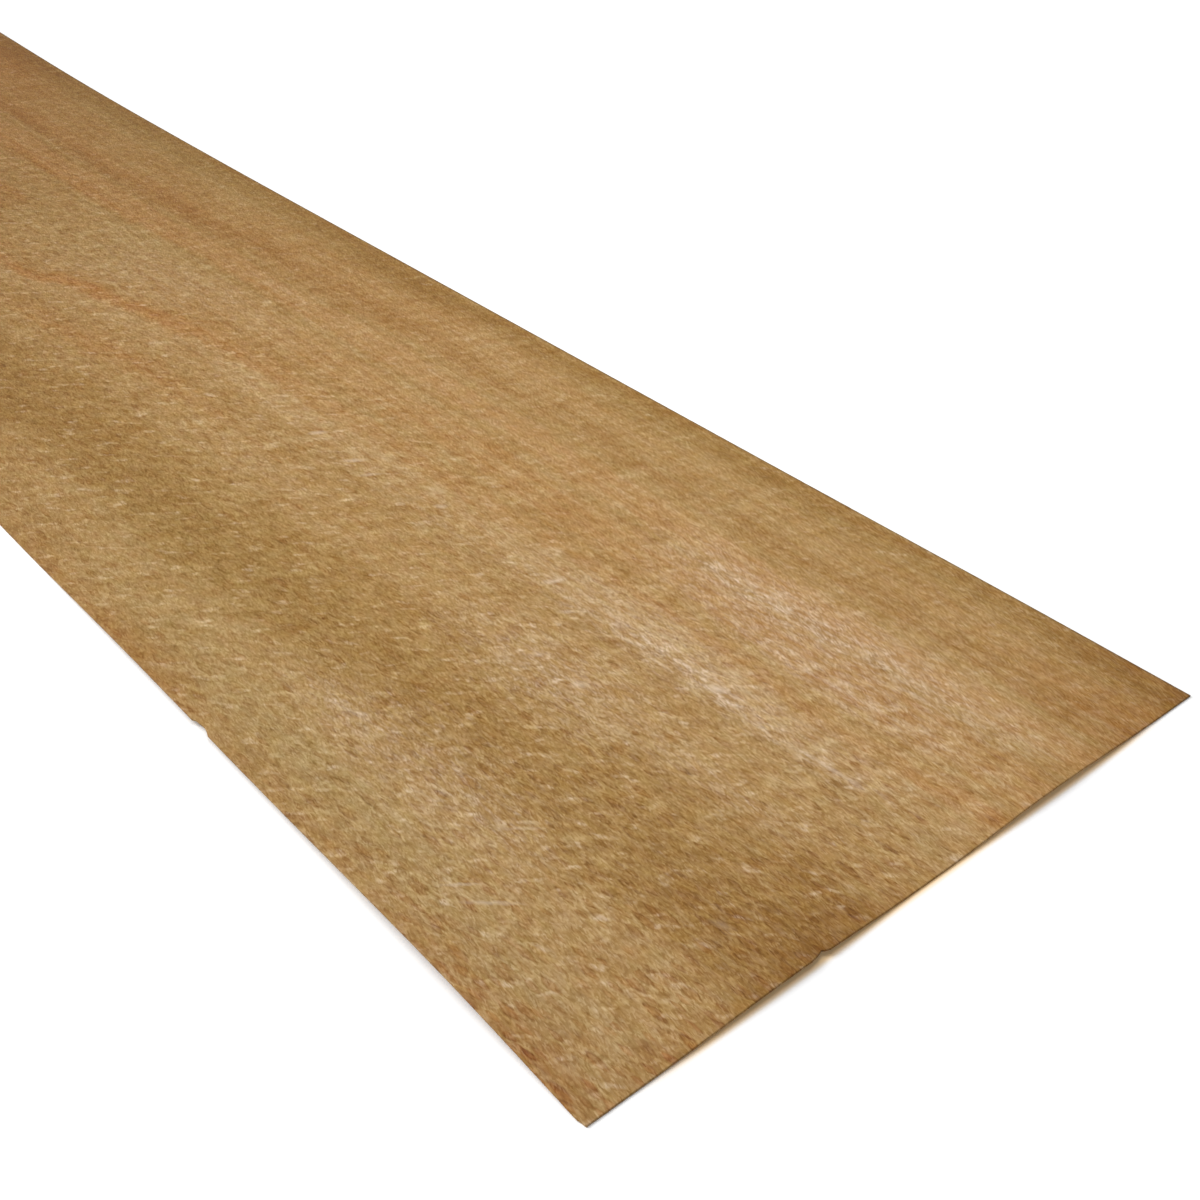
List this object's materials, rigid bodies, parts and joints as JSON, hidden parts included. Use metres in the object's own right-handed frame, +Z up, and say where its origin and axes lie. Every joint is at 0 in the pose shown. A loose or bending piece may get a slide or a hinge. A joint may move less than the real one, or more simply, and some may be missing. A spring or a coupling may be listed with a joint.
{
  "type": "wood veneer sheet",
  "caption": "Thin rectangular leaf of sliced figured hardwood veneer, square-trimmed, lying flat with shallow curls and a low buckle, for facing boards and panels.",
  "frame": {"origin": "on the floor under the middle of the sheet: the bottom centre of its bounding box", "axes": "+X along the sheet towards its curled end, +Y across it towards the edge with the buckle, +Z up from the floor"},
  "size_m": [2.5, 0.3, 0.0107],
  "materials": {
    "veneer": "knife-sliced bare hardwood, golden tan with soft bands along the length and a fine mottled figure, satin"
  },
  "bodies": {
    "root": {"veneer_sheet": "veneer"}
  },
  "joints": []
}
